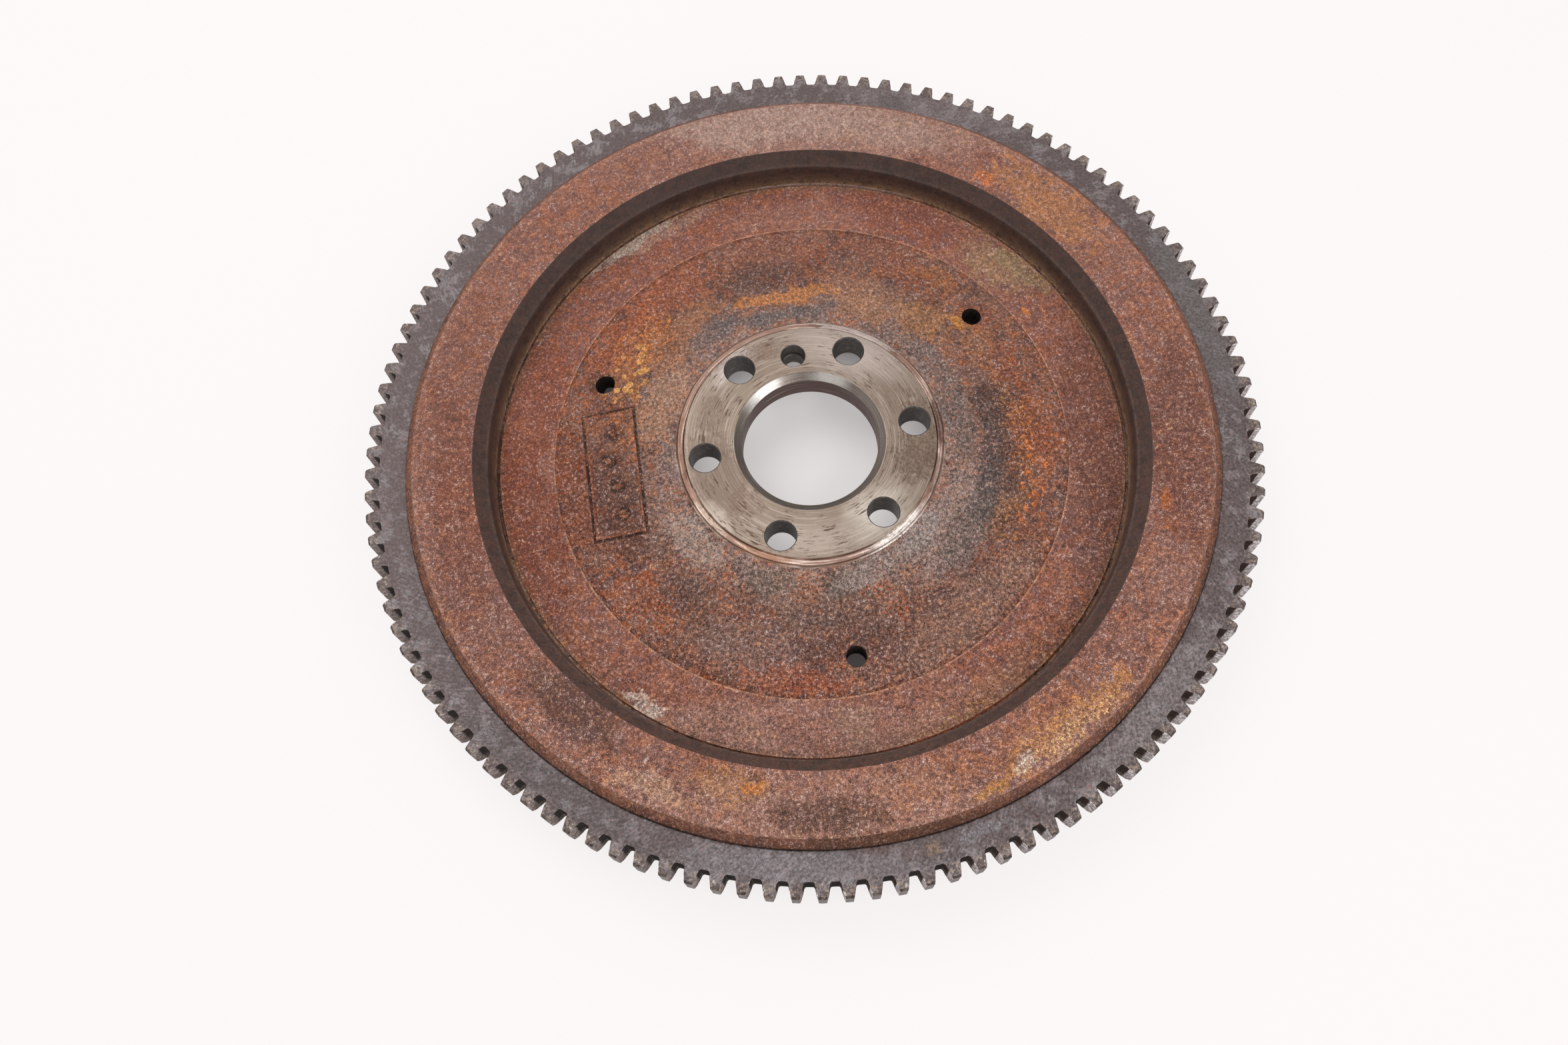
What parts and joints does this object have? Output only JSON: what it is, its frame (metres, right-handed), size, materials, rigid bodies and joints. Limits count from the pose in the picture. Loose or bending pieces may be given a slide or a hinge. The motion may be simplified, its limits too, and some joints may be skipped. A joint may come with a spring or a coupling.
{
  "type": "engine flywheel with starter ring gear",
  "caption": "Cast iron engine flywheel with a toothed starter ring, a bolted hub, a dished web and a clutch friction face.",
  "frame": {"origin": "on the axis, at the turned face that bolts to the crankshaft", "axes": "+Z along the axis towards the engine, +Y through the crankshaft dowel hole"},
  "size_m": [0.2998, 0.2998, 0.0344],
  "materials": {
    "rusted_iron": "rusted cast surface, with bare turned faces at the hub",
    "gear_steel": "dark heat scale with worn bright tooth tips",
    "dowel_steel": "ground steel"
  },
  "bodies": {
    "root": {"flywheel_disc": "rusted_iron", "starter_ring_gear": "gear_steel", "clutch_dowel_1": "dowel_steel", "clutch_dowel_2": "dowel_steel", "clutch_dowel_3": "dowel_steel"}
  },
  "joints": []
}
